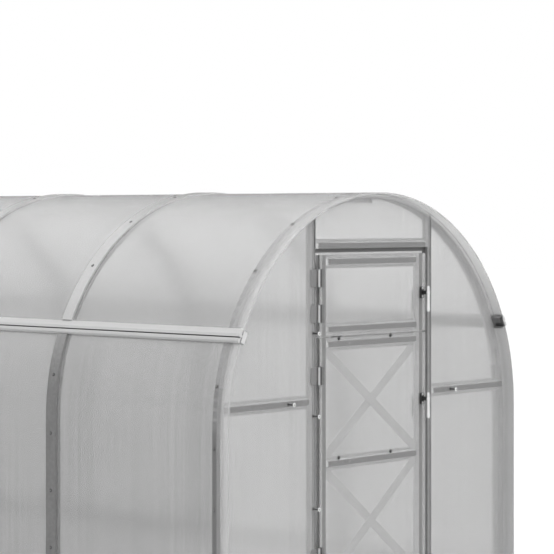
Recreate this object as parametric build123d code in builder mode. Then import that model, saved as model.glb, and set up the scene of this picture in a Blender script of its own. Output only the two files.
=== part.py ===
from build123d import *

import os
from math import asin, atan2, cos, degrees, hypot, radians, sin, sqrt

# Overall form, in millimetres: X across, Y along, Z up, the door at the -Y end
bays = 4
bay_length = 1000
arch_inset = 81
arch_radius = 1000
wall_height = 850

# Sheet and rolled steel
sheet = 6
sheet_lift = 10
steel = 2
profile_width = 60
profile_crown = 24
profile_foot = 12
profile_depth = 20
seat = 0.1

# Splices between the arch legs and the arch bows
splice_height = 180
splice_plate = 3
splice_plate_width = 18
splice_plate_length = 160

# Joints between the sheets
strip_height = 396
strip_upper = 32
strip_lower = 32
strip_proud = 12
strip_rim = 3
strip_web = 10
strip_groove = 6
strip_groove_drop = 9
strip_lip_radius = 8
strip_seat = 0.1
strip_box_width = 54
strip_box_depth = 26
strip_slot = 18
strip_slot_drop = 8
sheet_joint = 4
edge_gap = 1
strap_width = 64
strap_height = 8

# Gable and door
post_spacing = 812
crown_lap = 8
side_rail_height = 937
header_height = 1614
door_gap = 7
lower_leaf_bottom = 75
lower_leaf_top = 1212
upper_leaf_bottom = 1218
upper_leaf_top = 1574
middle_rail_height = 658
brace_width = 42
brace_thickness = 3
brace_lap_behind = 28
brace_lap_inside = 10

# Hinges
hinge_height = 77
hinge_heights_upper = (1474, 1319)
hinge_heights_lower = (1048, 261)
hinge_plate = 3
hinge_leaf_width = 36
hinge_post_width = 18
knuckle_radius = 6
pin_radius = 2.5
pin_clearance = 0.3
knuckle_gap = 0.5
pin_inset = 8

# Handles
handle_heights = {"upper": 1394, "lower": 906}
lock_plate_height = 51
lock_plate_width = 24
lock_plate_radius = 4
lock_plate_thickness = 8
inner_plate_thickness = 3
spindle_width = 8
spindle_hole = 7
hub_clearance = 1
hub_radius = 9
lever_reach = 44
lever_thickness = 6
lever_up = 30
lever_down = 88
lever_tip_radius = 8
lever_tail_radius = 6
inner_lever_reach = 24

# Places worked out from the sizes above
length = bays * bay_length + 2 * arch_inset
front = -length / 2
arch_places = [front + arch_inset + number * bay_length for number in range(bays + 1)]
sheet_inside = arch_radius - sheet
frame_inside = sheet_inside - profile_depth
strip_angle = degrees(asin(strip_height / arch_radius))
splice_angle = degrees(asin(splice_height / sheet_inside))
gable_face = front + arch_inset - profile_width / 2
gable_sheet_face = gable_face - sheet
post_x = post_spacing / 2
post_inner = post_x - profile_width / 2
leaf_half = post_inner - door_gap
stile_x = leaf_half - profile_width / 2
stile_inner = leaf_half - profile_width
pin_x = -(post_inner + pin_inset)
pin_y = gable_sheet_face - knuckle_radius
upper_leaf = (upper_leaf_bottom, upper_leaf_top)
lower_leaf = (lower_leaf_bottom, lower_leaf_top)

os.makedirs("parts", exist_ok=True)
finished = []


# Shared outlines


def keep(part, name):
    """Name a finished piece and list it for writing."""
    part.label = name
    finished.append(part)


def gable_plane(y, x=0, z=0):
    """Upright plane across the house that faces the door end."""
    return Plane(origin=(x, y, z), x_dir=(1, 0, 0), z_dir=(0, -1, 0))


def radial_plane(angle, radius, y):
    """Plane across an arch member, with its second axis pointing out of the house."""
    turn = radians(angle)
    centre = (-radius * cos(turn), y, wall_height + radius * sin(turn))
    return Plane(origin=centre, x_dir=(0, 1, 0), z_dir=(sin(turn), 0, cos(turn)))


def hat_section(plane):
    """Rolled hat section: crown on the plane's first axis, feet one depth below."""
    crown = profile_crown / 2
    edge = profile_width / 2
    root = edge - profile_foot
    foot_top = steel - profile_depth
    with BuildSketch(plane) as section:
        with BuildLine():
            side = Polyline(
                (crown, 0),
                (root, foot_top),
                (edge, foot_top),
                (edge, -profile_depth),
                (root - steel, -profile_depth),
                (crown - steel, -steel),
            )
            other_side = mirror(side, about=Plane.YZ)
            Line(side @ 0, other_side @ 0)
            Line(side @ 1, other_side @ 1)
        make_face()
    return section.sketch


def strap_section(plane):
    """Shallow channel that clamps two sheets, with its lips turned down on them."""
    half = strap_width / 2
    with BuildSketch(plane) as section:
        with BuildLine():
            lip = Polyline(
                (half, strap_height),
                (half, 0),
                (half - steel, 0),
                (half - steel, strap_height - steel),
            )
            other_lip = mirror(lip, about=Plane.YZ)
            Line(lip @ 0, other_lip @ 0)
            Line(lip @ 1, other_lip @ 1)
        make_face()
    return section.sketch


def trim_to_arch(radius, start, depth):
    """Cut away what lies outside an arch of this radius, for a slice of this depth."""
    with BuildSketch(gable_plane(start)) as outline:
        with BuildLine():
            arc = CenterArc((0, wall_height), radius, 0, 180)
            Polyline(arc @ 1, (-radius, 0), (radius, 0), arc @ 0)
        make_face()
    extrude(outline.sketch, amount=-depth, mode=Mode.INTERSECT)


def arch_axis(y):
    """Line through the centre of the arches."""
    return Axis((0, y, wall_height), (0, 1, 0))


def wall_edge_angle(gap, radius):
    """Angle of an edge that stops this far below the middle of the joint strip."""
    return strip_angle - degrees(asin(gap / radius))


# Arch frames

for number, y in enumerate(arch_places):
    with BuildPart() as bow:
        revolve(
            hat_section(radial_plane(splice_angle, sheet_inside, y)),
            axis=arch_axis(y),
            revolution_arc=180 - 2 * splice_angle,
        )
    place = ("front", "second", "third", "fourth", "rear")[number]
    keep(bow.part, f"{place}_arch_bow")

with BuildPart() as left_arch_legs:
    for y in arch_places:
        foot_plane = Plane(origin=(-sheet_inside, y, 0), x_dir=(0, 1, 0), z_dir=(0, 0, 1))
        extrude(hat_section(foot_plane), amount=wall_height)
        revolve(
            hat_section(radial_plane(0, sheet_inside, y)),
            axis=arch_axis(y),
            revolution_arc=splice_angle,
        )
keep(left_arch_legs.part, "left_arch_legs")

with BuildPart() as right_arch_legs:
    mirror(left_arch_legs.part, about=Plane.YZ)
keep(right_arch_legs.part, "right_arch_legs")

# Splice plates inside the section, across the joints of the legs and the bows

splice_radius = sheet_inside - steel - seat
splice_half_angle = degrees(splice_plate_length / 2 / splice_radius)
with BuildPart() as left_arch_splices:
    for y in arch_places:
        start_plane = radial_plane(splice_angle - splice_half_angle, splice_radius, y)
        with BuildSketch(start_plane):
            with Locations((0, -splice_plate / 2)):
                Rectangle(splice_plate_width, splice_plate)
        revolve(axis=arch_axis(y), revolution_arc=2 * splice_half_angle)
keep(left_arch_splices.part, "left_arch_splices")

with BuildPart() as right_arch_splices:
    mirror(left_arch_splices.part, about=Plane.YZ)
keep(right_arch_splices.part, "right_arch_splices")

# Base rails along the walls

rail_length = bay_length - profile_width
with BuildPart() as left_base_rails:
    for y in arch_places[:-1]:
        start = (-sheet_inside, y + profile_width / 2, profile_width / 2)
        rail_plane = Plane(origin=start, x_dir=(0, 0, -1), z_dir=(0, 1, 0))
        extrude(hat_section(rail_plane), amount=rail_length)
keep(left_base_rails.part, "left_base_rails")

with BuildPart() as right_base_rails:
    mirror(left_base_rails.part, about=Plane.YZ)
keep(right_base_rails.part, "right_base_rails")

# Ridge purlin under the bows

with BuildPart() as ridge_purlin:
    ridge = (0, gable_face + profile_depth, wall_height + frame_inside - seat)
    ridge_plane = Plane(origin=ridge, x_dir=(1, 0, 0), z_dir=(0, -1, 0))
    extrude(hat_section(ridge_plane), amount=2 * ridge[1])
keep(ridge_purlin.part, "ridge_purlin")

# Joint strips between the roof and the walls

strip_origin = radial_plane(strip_angle, arch_radius, front).origin
strip_plane = Plane(
    origin=strip_origin,
    x_dir=(-cos(radians(strip_angle)), 0, sin(radians(strip_angle))),
    z_dir=(0, 1, 0),
)
box_corner_height = sqrt(sheet_inside**2 - (strip_box_width / 2) ** 2)
box_outside = box_corner_height - strip_seat - arch_radius
box_inside = box_outside - strip_box_depth
groove_low = -strip_groove_drop - strip_groove / 2
groove_high = -strip_groove_drop + strip_groove / 2
with BuildPart() as left_joint_strip:
    with BuildSketch(strip_plane):
        with BuildLine():
            lip_top = (strip_proud, strip_lip_radius - strip_lower)
            lip_end = (strip_proud - strip_lip_radius, -strip_lower)
            Polyline(
                lip_end,
                (0, -strip_lower),
                (0, strip_upper),
                (strip_rim, strip_upper),
                (strip_proud, groove_high + strip_proud),
                (strip_proud, groove_high),
                (strip_rim, groove_high),
                (strip_rim, groove_low),
                (strip_proud, groove_low),
                lip_top,
            )
            TangentArc(lip_top, lip_end, tangent=(0, -1))
        make_face()
        with Locations((box_outside / 2, 0)):
            Rectangle(-box_outside, strip_web)
        with Locations((box_outside - strip_box_depth / 2, 0)):
            Rectangle(strip_box_depth, strip_box_width)
            Rectangle(strip_box_depth - 2 * steel, strip_box_width - 2 * steel, mode=Mode.SUBTRACT)
        with Locations((box_inside, -strip_slot_drop)):
            Rectangle(3 * steel, strip_slot, mode=Mode.SUBTRACT)
    extrude(amount=length)
    for y in arch_places:
        middle = y - sheet / 2 if y == arch_places[0] else y
        middle = y + sheet / 2 if y == arch_places[-1] else middle
        notch = profile_width + 2 * edge_gap + 2 * abs(middle - y)
        notch_plane = Plane(
            origin=(strip_plane.origin.X, middle, strip_plane.origin.Z),
            x_dir=strip_plane.x_dir,
            z_dir=strip_plane.z_dir,
        )
        with BuildSketch(notch_plane):
            with Locations((-sheet - strip_box_depth / 2 - edge_gap, 0)):
                Rectangle(strip_box_depth + 2 * edge_gap, strip_box_width + 2 * edge_gap)
        extrude(amount=notch / 2, both=True, mode=Mode.SUBTRACT)
keep(left_joint_strip.part, "left_joint_strip")

with BuildPart() as right_joint_strip:
    mirror(left_joint_strip.part, about=Plane.YZ)
keep(right_joint_strip.part, "right_joint_strip")

# Roof and wall sheets, one to a bay, meeting on the arches

sheet_ends = [front]
for y in arch_places[1:-1]:
    sheet_ends += [y - sheet_joint / 2, y + sheet_joint / 2]
sheet_ends.append(-front)
sheet_spans = list(zip(sheet_ends[::2], sheet_ends[1::2]))
web_gap = strip_web / 2 + edge_gap
wall_sheet_angle = wall_edge_angle(web_gap, sheet_inside)
roof_sheet_angle = 2 * strip_angle - wall_sheet_angle

for number, (start, end) in enumerate(sheet_spans, 1):
    with BuildPart() as roof_sheet:
        with BuildSketch(gable_plane(start)):
            with BuildLine():
                sweep_angle = 180 - 2 * roof_sheet_angle
                outer = CenterArc((0, wall_height), arch_radius, roof_sheet_angle, sweep_angle)
                inner = CenterArc((0, wall_height), sheet_inside, roof_sheet_angle, sweep_angle)
                Line(outer @ 0, inner @ 0)
                Line(outer @ 1, inner @ 1)
            make_face()
        extrude(amount=start - end)
    keep(roof_sheet.part, f"roof_sheet_{number}")

with BuildPart() as left_wall_sheets:
    for start, end in sheet_spans:
        with BuildSketch(gable_plane(start)):
            with BuildLine():
                outer = CenterArc((0, wall_height), arch_radius, 180, -wall_sheet_angle)
                inner = CenterArc((0, wall_height), sheet_inside, 180, -wall_sheet_angle)
                Line(outer @ 1, inner @ 1)
                Polyline(
                    outer @ 0,
                    (-arch_radius, sheet_lift),
                    (-sheet_inside, sheet_lift),
                    inner @ 0,
                )
            make_face()
        extrude(amount=start - end)
keep(left_wall_sheets.part, "left_wall_sheets")

with BuildPart() as right_wall_sheets:
    mirror(left_wall_sheets.part, about=Plane.YZ)
keep(right_wall_sheets.part, "right_wall_sheets")

# Straps over the sheet joints

wall_strap_angle = wall_edge_angle(strip_lower + edge_gap, arch_radius)
roof_strap_angle = strip_angle + degrees(asin((strip_upper + edge_gap) / arch_radius))

for number, y in enumerate(arch_places[1:-1], 1):
    with BuildPart() as roof_strap:
        revolve(
            strap_section(radial_plane(roof_strap_angle, arch_radius, y)),
            axis=arch_axis(y),
            revolution_arc=180 - 2 * roof_strap_angle,
        )
    keep(roof_strap.part, f"roof_strap_{number}")

with BuildPart() as left_wall_straps:
    for y in arch_places[1:-1]:
        start = (-arch_radius, y, sheet_lift)
        strap_plane = Plane(origin=start, x_dir=(0, 1, 0), z_dir=(0, 0, 1))
        extrude(strap_section(strap_plane), amount=wall_height - sheet_lift)
        revolve(
            strap_section(radial_plane(0, arch_radius, y)),
            axis=arch_axis(y),
            revolution_arc=wall_strap_angle,
        )
keep(left_wall_straps.part, "left_wall_straps")

with BuildPart() as right_wall_straps:
    mirror(left_wall_straps.part, about=Plane.YZ)
keep(right_wall_straps.part, "right_wall_straps")

# Gable posts and rails


def post_plane(x, z):
    """Level plane for an upright member, with its crown towards the door end."""
    return Plane(origin=(x, gable_face, z), x_dir=(-1, 0, 0), z_dir=(0, 0, 1))


def rail_section_plane(x, z):
    """Upright plane for a level member, with its crown towards the door end."""
    return Plane(origin=(x, gable_face, z), x_dir=(0, 0, 1), z_dir=(1, 0, 0))


def level_rails(z, spans):
    """Hat rails at one height, cut to the inside of the arch frame."""
    with BuildPart() as rails:
        for start, end in spans:
            extrude(hat_section(rail_section_plane(start, z)), amount=end - start)
        trim_to_arch(frame_inside, gable_face - edge_gap, profile_depth + 2 * edge_gap)
    return rails.part


def upright_post(x):
    """Hat post from the ground to the inside of the arch frame."""
    with BuildPart() as post:
        extrude(hat_section(post_plane(x, 0)), amount=wall_height + arch_radius)
        trim_to_arch(frame_inside, gable_face - edge_gap, profile_depth + 2 * edge_gap)
    return post.part


post_outer = post_x + profile_width / 2
side_spans = [(-arch_radius, -post_outer), (post_outer, arch_radius)]
middle_span = (-post_inner, post_inner)
all_spans = side_spans + [middle_span]

left_door_post = upright_post(-post_x)
keep(left_door_post, "left_door_post")
right_door_post = upright_post(post_x)
keep(right_door_post, "right_door_post")
door_header = level_rails(header_height, [middle_span])
keep(door_header, "door_header")
front_side_rails = level_rails(side_rail_height, side_spans)
keep(front_side_rails, "front_side_rails")
front_base_rails = level_rails(profile_width / 2, all_spans)
keep(front_base_rails, "front_base_rails")

with BuildPart() as rear_posts:
    mirror(left_door_post, about=Plane.XZ)
    mirror(right_door_post, about=Plane.XZ)
keep(rear_posts.part, "rear_posts")

with BuildPart() as rear_rails:
    mirror(level_rails(side_rail_height, all_spans), about=Plane.XZ)
keep(rear_rails.part, "rear_rails")

with BuildPart() as rear_base_rails:
    mirror(front_base_rails, about=Plane.XZ)
keep(rear_base_rails.part, "rear_base_rails")

# Gable sheets

gable_radius = sheet_inside - edge_gap
lap_outer = post_x + profile_crown / 2 - crown_lap
lap_inner = post_x - profile_crown / 2 + crown_lap
top_sheet_bottom = header_height - profile_crown / 2


def gable_sheet(low, high):
    """Sheet over the frame's face between two corners, cut to the arch."""
    with BuildPart() as panel:
        with BuildSketch(gable_plane(gable_face)):
            with BuildLine():
                Polyline(low, (high[0], low[1]), high, (low[0], high[1]), close=True)
            make_face()
        extrude(amount=sheet)
        trim_to_arch(gable_radius, gable_sheet_face - edge_gap, sheet + 2 * edge_gap)
    return panel.part


roof_top = wall_height + arch_radius
keep(gable_sheet((-arch_radius, sheet_lift), (-lap_outer, roof_top)), "front_left_sheet")
keep(gable_sheet((lap_outer, sheet_lift), (arch_radius, roof_top)), "front_right_sheet")
keep(gable_sheet((-lap_inner, top_sheet_bottom), (lap_inner, roof_top)), "front_top_sheet")

with BuildPart() as rear_gable_sheet:
    whole_gable = gable_sheet((-arch_radius, sheet_lift), (arch_radius, roof_top))
    mirror(whole_gable, about=Plane.XZ)
keep(rear_gable_sheet.part, "rear_gable_sheet")

# Door leaves


def spindle_bore(height, start, end):
    """Round way for the handle's spindle between two depths."""
    with BuildSketch(gable_plane(start, stile_x, height)) as bore:
        Circle(spindle_hole)
    extrude(bore.sketch, amount=start - end, mode=Mode.SUBTRACT)


def leaf_stiles(leaf, handle):
    """Two hat stiles of a leaf, the right one bored for the spindle."""
    low, high = leaf
    with BuildPart() as stiles:
        for x in (-stile_x, stile_x):
            extrude(hat_section(post_plane(x, low)), amount=high - low)
        spindle_bore(handle, gable_face - steel, gable_face + profile_depth)
    return stiles.part


def leaf_rails(heights):
    """Hat rails between the stiles of a leaf."""
    with BuildPart() as rails:
        for z in heights:
            extrude(hat_section(rail_section_plane(-stile_inner, z)), amount=2 * stile_inner)
    return rails.part


def leaf_sheet(leaf, handle):
    """Sheet over the whole face of a leaf."""
    low, high = leaf
    with BuildPart() as panel:
        with BuildSketch(gable_plane(gable_face)):
            with Locations((0, (low + high) / 2)):
                Rectangle(2 * leaf_half, high - low)
        extrude(amount=sheet)
        spindle_bore(handle, gable_sheet_face - sheet, gable_face + sheet)
    return panel.part


def brace(low, high, rising, y, lap):
    """Flat bar from corner to corner of a bay of the leaf."""
    width = 2 * stile_inner
    height = high - low
    diagonal = hypot(width, height) + 2 * profile_width
    slope = degrees(atan2(height, width))
    with BuildSketch(gable_plane(y)) as bar:
        with Locations((0, (low + high) / 2)):
            Rectangle(diagonal, brace_width, rotation=slope if rising else -slope)
            Rectangle(width + 2 * lap, height + 2 * lap, mode=Mode.INTERSECT)
    extrude(bar.sketch, amount=-brace_thickness)


half_rail = profile_width / 2
lower_rail_heights = (
    lower_leaf_bottom + half_rail,
    middle_rail_height,
    lower_leaf_top - half_rail,
)
upper_rail_heights = (upper_leaf_bottom + half_rail, upper_leaf_top - half_rail)

keep(leaf_stiles(lower_leaf, handle_heights["lower"]), "lower_door_stiles")
keep(leaf_rails(lower_rail_heights), "lower_door_rails")
keep(leaf_sheet(lower_leaf, handle_heights["lower"]), "lower_door_sheet")
keep(leaf_stiles(upper_leaf, handle_heights["upper"]), "upper_door_stiles")
keep(leaf_rails(upper_rail_heights), "upper_door_rails")
keep(leaf_sheet(upper_leaf, handle_heights["upper"]), "upper_door_sheet")

# Crossed braces: one bar on the front of the feet, the other behind them

foot_back = gable_face + profile_depth
foot_front = foot_back - steel
with BuildPart() as lower_door_braces:
    for number in range(2):
        bay_low = lower_rail_heights[number] + half_rail
        bay_high = lower_rail_heights[number + 1] - half_rail
        front_bar_rises = number == 0
        bar_front = foot_front - brace_thickness
        brace(bay_low, bay_high, front_bar_rises, bar_front, brace_lap_inside)
        brace(bay_low, bay_high, not front_bar_rises, foot_back, brace_lap_behind)
keep(lower_door_braces.part, "lower_door_braces")

# Hinges: the pin and end knuckles stay on the post, the middle knuckle turns

middle_knuckle = hinge_height / 2 - 2 * knuckle_gap
knuckle_seat = middle_knuckle / 2 + knuckle_gap


def hinge_plane(z):
    """Level plane with its origin on the hinge pin."""
    return Plane(origin=(pin_x, pin_y, z), x_dir=(1, 0, 0), z_dir=(0, 0, 1))


def fixed_hinge_half(z):
    """End knuckles on a bent plate on the post, with the pin through them."""
    face = gable_face - pin_y
    plate_x = -knuckle_radius - hinge_post_width / 2 + hinge_plate
    for low in (-hinge_height / 2, knuckle_seat):
        high = low + hinge_height / 2 - knuckle_seat
        with BuildSketch(hinge_plane(z + low)) as ends:
            Circle(knuckle_radius)
            with Locations((-knuckle_radius + hinge_plate / 2, face / 2)):
                Rectangle(hinge_plate, face)
        extrude(ends.sketch, amount=high - low)
    with BuildSketch(hinge_plane(z - hinge_height / 2)) as plate:
        with Locations((plate_x, face - hinge_plate / 2)):
            Rectangle(hinge_post_width, hinge_plate)
    extrude(plate.sketch, amount=hinge_height)
    with BuildSketch(hinge_plane(z - hinge_height / 2)) as pin:
        Circle(pin_radius)
    extrude(pin.sketch, amount=hinge_height)


def moving_hinge_half(z):
    """Middle knuckle on a flat plate on the leaf."""
    clear = knuckle_radius + pin_clearance + knuckle_gap
    with BuildSketch(hinge_plane(z - hinge_height / 2)) as plate:
        with Locations(((clear + hinge_leaf_width) / 2, knuckle_radius - hinge_plate / 2)):
            Rectangle(hinge_leaf_width - clear, hinge_plate)
    extrude(plate.sketch, amount=hinge_height)
    with BuildSketch(hinge_plane(z - middle_knuckle / 2)) as knuckle:
        Circle(knuckle_radius)
        with Locations((clear / 2, knuckle_radius - hinge_plate / 2)):
            Rectangle(clear, hinge_plate)
        Circle(pin_radius + pin_clearance, mode=Mode.SUBTRACT)
    extrude(knuckle.sketch, amount=middle_knuckle)


with BuildPart() as fixed_hinge_halves:
    for z in hinge_heights_upper + hinge_heights_lower:
        fixed_hinge_half(z)
keep(fixed_hinge_halves.part, "fixed_hinge_halves")

with BuildPart() as upper_door_hinge_halves:
    for z in hinge_heights_upper:
        moving_hinge_half(z)
keep(upper_door_hinge_halves.part, "upper_door_hinge_halves")

with BuildPart() as lower_door_hinge_halves:
    for z in hinge_heights_lower:
        moving_hinge_half(z)
keep(lower_door_hinge_halves.part, "lower_door_hinge_halves")

# Lever handles on a spindle through the stile

plate_front = gable_sheet_face - lock_plate_thickness
lever_front = gable_sheet_face - lever_reach
inner_plate_back = foot_back + inner_plate_thickness
inner_lever_front = inner_plate_back + inner_lever_reach


def lock_plates(height):
    """Plate on the face of the leaf and a thinner one across the stile's feet."""
    with BuildPart() as plates:
        with BuildSketch(gable_plane(gable_sheet_face, stile_x, height)):
            RectangleRounded(lock_plate_width, lock_plate_height, lock_plate_radius)
            Circle(spindle_hole, mode=Mode.SUBTRACT)
        extrude(amount=lock_plate_thickness)
        with BuildSketch(gable_plane(inner_plate_back, stile_x, height)):
            Rectangle(profile_width, lock_plate_height)
            Circle(spindle_hole, mode=Mode.SUBTRACT)
        extrude(amount=inner_plate_thickness)
    return plates.part


def lever(height, y, up):
    """Flat tapered lever that hangs from its hub."""
    with BuildSketch(gable_plane(y, stile_x, height)) as outline:
        with Locations((0, up - lever_tail_radius)):
            Circle(lever_tail_radius)
        with Locations((0, lever_tip_radius - lever_down)):
            Circle(lever_tip_radius)
        make_hull()
    extrude(outline.sketch, amount=-lever_thickness)


def lever_hub(height, start, end):
    """Round boss of a lever between two depths."""
    with BuildSketch(gable_plane(start, stile_x, height)) as boss:
        Circle(hub_radius)
    extrude(boss.sketch, amount=start - end)


def square_spindle(height, start, end):
    """Square bar that both levers are fixed to."""
    with BuildSketch(gable_plane(start, stile_x, height)) as bar:
        Rectangle(spindle_width, spindle_width)
    extrude(bar.sketch, amount=start - end)


def handle(height):
    """Outer and inner levers with their hubs and the spindle."""
    with BuildPart() as levers:
        square_spindle(height, lever_front, inner_lever_front)
        lever_hub(height, lever_front, plate_front - hub_clearance)
        lever_hub(height, inner_plate_back + hub_clearance, inner_lever_front)
        lever(height, lever_front, lever_up)
        lever(height, inner_lever_front - lever_thickness, hub_radius)
    return levers.part


for leaf_name, height in handle_heights.items():
    keep(lock_plates(height), f"{leaf_name}_lock_plates")
    keep(handle(height), f"{leaf_name}_handle")

for part in finished:
    export_step(part, f"parts/{part.label}.step")
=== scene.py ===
"""Looks of an arched greenhouse of twin-wall sheets on a rolled steel frame.

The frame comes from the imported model. Each sub-assembly is a class that dresses its carried-over
nodes with finishes and builds the small pieces that belong to it, such as screws and seals.
All lengths are in metres, with the door end at -Y and the ground at Z = 0.
"""

import logging
import math
from dataclasses import dataclass, field
from enum import Enum

import bpy
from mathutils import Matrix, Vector


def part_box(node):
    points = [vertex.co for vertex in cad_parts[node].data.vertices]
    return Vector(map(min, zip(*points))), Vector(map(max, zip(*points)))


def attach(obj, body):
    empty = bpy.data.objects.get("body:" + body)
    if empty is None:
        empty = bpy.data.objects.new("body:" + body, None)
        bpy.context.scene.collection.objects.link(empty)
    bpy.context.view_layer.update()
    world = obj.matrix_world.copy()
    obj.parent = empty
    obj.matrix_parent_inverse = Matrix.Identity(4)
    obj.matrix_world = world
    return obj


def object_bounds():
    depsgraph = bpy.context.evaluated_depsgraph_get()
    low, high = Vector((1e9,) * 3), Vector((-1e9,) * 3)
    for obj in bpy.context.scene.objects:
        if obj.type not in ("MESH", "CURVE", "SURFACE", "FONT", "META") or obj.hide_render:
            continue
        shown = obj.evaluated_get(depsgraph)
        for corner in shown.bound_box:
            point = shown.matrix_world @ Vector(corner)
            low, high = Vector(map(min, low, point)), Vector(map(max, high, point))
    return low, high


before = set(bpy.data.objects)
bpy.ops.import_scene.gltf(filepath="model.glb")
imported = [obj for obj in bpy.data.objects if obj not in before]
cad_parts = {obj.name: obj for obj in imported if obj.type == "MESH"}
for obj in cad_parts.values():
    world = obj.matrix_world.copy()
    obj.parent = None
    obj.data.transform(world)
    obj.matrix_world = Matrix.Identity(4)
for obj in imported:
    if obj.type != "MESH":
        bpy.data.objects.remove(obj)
cad_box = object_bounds()

log = logging.getLogger("greenhouse")

Pair = tuple[float, float]
Triple = tuple[float, float, float]
Places = tuple[float, ...]
Colour = Triple
Profile = list[Pair]
Node = bpy.types.Node
Socket = bpy.types.NodeSocket
Outputs = bpy.types.NodeOutputs

# Places of the colour sockets in a Mix node, which has a set for each kind of value.
MIX_FIRST, MIX_SECOND, MIX_RESULT = 6, 7, 2


class Body(Enum):
    """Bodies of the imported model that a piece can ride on."""

    HOUSE = "root"
    LOWER_LEAF = "lower_door"
    UPPER_LEAF = "upper_door"


class Side(Enum):
    """Long sides of the house, as the sign of X."""

    LEFT = -1
    RIGHT = 1

    def slanted(self, angle: float) -> Vector:
        """Direction out of the house on this side, at an angle above the level."""
        return Vector((self.value * math.cos(angle), 0, math.sin(angle)))


class Flutes(Enum):
    """Axis across the flutes of a sheet."""

    ALONG_HOUSE = "Y"
    ACROSS_HOUSE = "X"


def shade(value: float) -> Colour:
    """Neutral grey of one linear value."""
    return (value, value, value)


WHITE = shade(1.0)


@dataclass(frozen=True)
class HouseSizes:
    """Sizes of the house that fasteners and trims are placed by."""

    arch_radius: float = 1.0
    wall_height: float = 0.85
    end_inset: float = 0.081
    bays: int = 4
    sheet: float = 0.006
    strap_height: float = 0.008
    gable_face: float = 0.03
    strip_height: float = 0.396
    strip_rim: float = 0.003
    groove_drop: float = 0.009
    groove_width: float = 0.006
    post_x: float = 0.406
    side_rail: float = 0.937
    stile_x: float = 0.339
    rail_foot: float = 0.024

    @property
    def front(self) -> float:
        """Y of the sheets' front edge."""
        return cad_box[0].y

    @property
    def arch_places(self) -> list[float]:
        """Y of each arch frame, from the door end to the far end."""
        first = self.front + self.end_inset
        return [first - 2 * first / self.bays * number for number in range(self.bays + 1)]

    @property
    def gable_sheet_face(self) -> float:
        """Y of the outer face of the door end's sheets."""
        return self.arch_places[0] - self.gable_face - self.sheet

    @property
    def strip_angle(self) -> float:
        """Angle above the spring line at which the joint strips lie."""
        return math.asin(self.strip_height / self.arch_radius)


HOUSE = HouseSizes()


@dataclass(frozen=True)
class Seat:
    """Place of a fastener: a point on a surface and the way out of it."""

    point: Vector
    out: Vector

    def axes(self) -> tuple[Vector, Vector]:
        """Two directions that span the surface at the seat."""
        first = self.out.orthogonal().normalized()
        return first, self.out.cross(first).normalized()

    def raised(self, height: float) -> "Seat":
        """Same seat, lifted off the surface."""
        return Seat(self.point + self.out * height, self.out)


def arch_seat(side: Side, path: float, y: float, radius: float) -> Seat:
    """Seat on the outside of an arch or its upright wall.

    Args:
        side: Long side of the house.
        path: Length along the arch from its spring line, or below it where negative.
        y: Place along the house.
        radius: Distance of the surface from the arch's centre.

    Returns:
        The seat, with its way out square to the surface.
    """
    out = side.slanted(max(path, 0.0) / HOUSE.arch_radius)
    centre = Vector((0, y, HOUSE.wall_height + min(path, 0.0)))
    return Seat(centre + out * radius, out)


def end_seat(x: float, y: float, height: float) -> Seat:
    """Seat on a face of either end of the house, with its way out of that end."""
    return Seat(Vector((x, y, height)), Vector((0, math.copysign(1.0, y), 0)))


class ShaderBench:
    """Adds and joins shader nodes in one node tree."""

    def __init__(self, tree: bpy.types.NodeTree) -> None:
        """Works on a node tree."""
        self.tree = tree

    def give(self, socket: Socket, value: object) -> None:
        """Gives an input an output to read, or a value of its own.

        Args:
            socket: Input of a node.
            value: Output, number, vector or colour without alpha.
        """
        if isinstance(value, Socket):
            self.tree.links.new(value, socket)
        elif socket.type == "RGBA":
            socket.default_value = (*value, 1.0)
        else:
            socket.default_value = value

    def feed(self, node: Node, **inputs: object) -> None:
        """Gives a node's inputs, named with _ for a space, their outputs or values."""
        for name, value in inputs.items():
            self.give(node.inputs[name.replace("_", " ")], value)

    def add(self, kind: str, *inputs: object, **settings: object) -> Node:
        """Adds a node.

        Args:
            kind: Class name of the node, without ShaderNode.
            inputs: Outputs or values for its first inputs, in their order.
            settings: Its properties and, with a capital letter, further inputs by name.

        Returns:
            The new node.
        """
        node = self.tree.nodes.new(f"ShaderNode{kind}")
        for name, value in settings.items():
            if name[0].isupper():
                self.feed(node, **{name: value})
            else:
                setattr(node, name, value)
        for socket, value in zip(node.inputs, inputs):
            self.give(socket, value)
        return node

    def math(self, operation: str, *inputs: object) -> Socket:
        """Result of a Math node on numbers or outputs."""
        return self.add("Math", *inputs, operation=operation).outputs[0]

    def spread(
        self, source: Socket, low: float, high: float, start: float = 0.0, end: float = 1.0
    ) -> Socket:
        """Maps an output's range onto another.

        Args:
            source: Output to map.
            low: Result where the output is start.
            high: Result where the output is end.
            start: Lower end of the range read.
            end: Upper end of the range read.

        Returns:
            The mapped output.
        """
        return self.add("MapRange", source, start, end, low, high).outputs[0]

    def around(self, share: Socket, middle: float, swing: float) -> Socket:
        """Number that an output moves to either side of a middle."""
        return self.spread(share, middle - swing, middle + swing)

    def tone(self, noise: Socket, strength: Socket) -> Socket:
        """Tone close to one that follows a noise."""
        swing = self.math("MULTIPLY", self.math("SUBTRACT", noise, 0.5), strength)
        return self.math("ADD", swing, 1.0)

    def toned(self, colour: object, tone: Socket) -> Socket:
        """Colour scaled by a tone."""
        return self.add("VectorMath", colour, operation="SCALE", Scale=tone).outputs[0]

    def mix(self, share: Socket, first: object, second: object) -> Socket:
        """Mixes two colours.

        Args:
            share: Output that says how much of the second colour shows.
            first: Colour or output.
            second: Colour or output.

        Returns:
            The mixed colour.
        """
        node = self.add("Mix", share, data_type="RGBA")
        self.give(node.inputs[MIX_FIRST], first)
        self.give(node.inputs[MIX_SECOND], second)
        return node.outputs[MIX_RESULT]

    def blend(self, share: Socket, first: Node, second: Node) -> Node:
        """Mixes two shaders, with share for the second."""
        return self.add("MixShader", share, first.outputs[0], second.outputs[0])


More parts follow.
